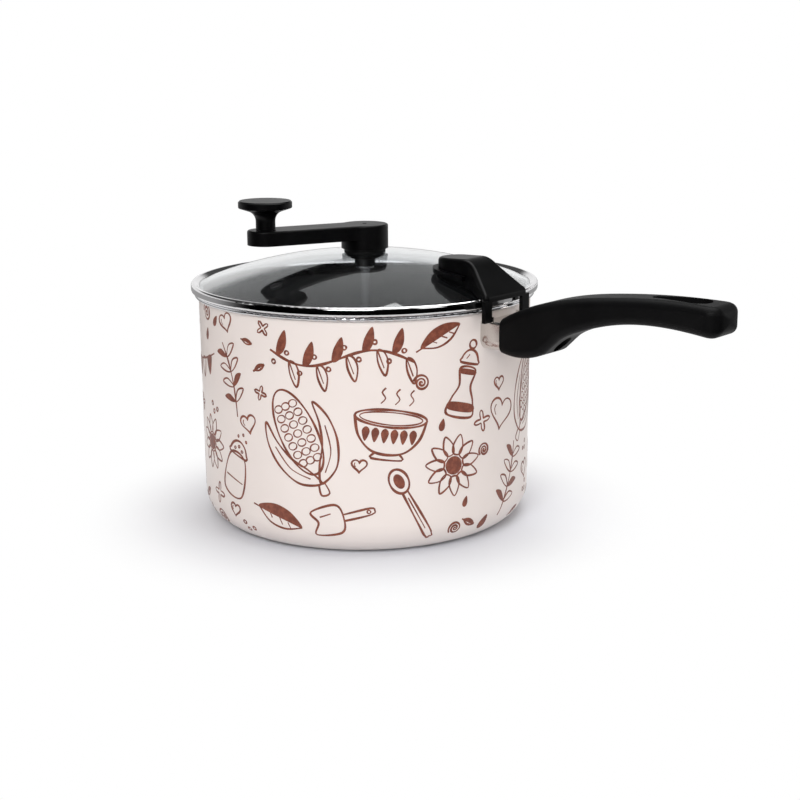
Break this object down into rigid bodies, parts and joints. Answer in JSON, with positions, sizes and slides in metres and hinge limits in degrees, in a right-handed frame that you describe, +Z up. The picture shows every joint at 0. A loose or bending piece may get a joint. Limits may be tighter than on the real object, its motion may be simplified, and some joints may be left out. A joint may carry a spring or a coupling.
{
  "type": "stovetop popcorn popper",
  "caption": "Cream enamelled pot with a side handle and a domed glass lid whose hand crank turns a wire stirrer over the pot floor.",
  "frame": {"origin": "on the pot's axis, at the flat underside of its base", "axes": "+Z up along the pot's and crank's axis; +X along the pot's handle, away from the pot; +Y to the left of the handle seen from the pot"},
  "size_m": [0.3905, 0.231, 0.2156],
  "materials": {
    "enamel": "satin cream enamel",
    "ink": "satin brown print",
    "nonstick": "satin dark coating",
    "polished_steel": "polished",
    "steel": "plain drawn",
    "aluminium_rivet": "satin",
    "glass": "clear tempered",
    "phenolic": "satin black moulding",
    "nylon": "matte black",
    "silicone": "matte black"
  },
  "bodies": {
    "pot": {"pot_shell": "enamel", "handle_bracket": "steel", "bracket_rivets": "aluminium_rivet", "handle_ferrule": "polished_steel", "handle_grip": "phenolic", "handle_washer": "steel", "handle_screw": "steel"},
    "lid": {"lid_glass": "glass", "lid_rim": "polished_steel", "lid_grip": "phenolic", "lid_grip_gasket": "silicone", "lid_clamp_plate": "nylon", "lid_grip_screws": "steel", "crank_bush": "nylon", "bush_washer_top": "silicone", "bush_washer_bottom": "silicone", "bush_nut": "nylon"},
    "crank": {"crank_arm": "phenolic", "crank_shaft": "steel", "crank_set_screw": "steel", "shaft_clip": "steel", "stirrer_hub": "steel", "stirrer_wire": "steel", "stirrer_set_screw": "steel"},
    "knob": {"crank_knob": "phenolic", "knob_screw": "steel", "knob_washer": "steel"}
  },
  "joints": [
    {"name": "lid_lift", "type": "slide", "parent": "pot", "child": "lid", "axis": [0, 0, 1], "range_m": [0, 0.19]},
    {"name": "crank_turn", "type": "hinge", "parent": "lid", "child": "crank", "pos_m": [0, 0, 0.18], "axis": [0, 0, 1], "continuous": true},
    {"name": "knob_spin", "type": "hinge", "parent": "crank", "child": "knob", "pos_m": [-0.02755, -0.0649, 0.197], "axis": [0, 0, 1], "continuous": true}
  ]
}
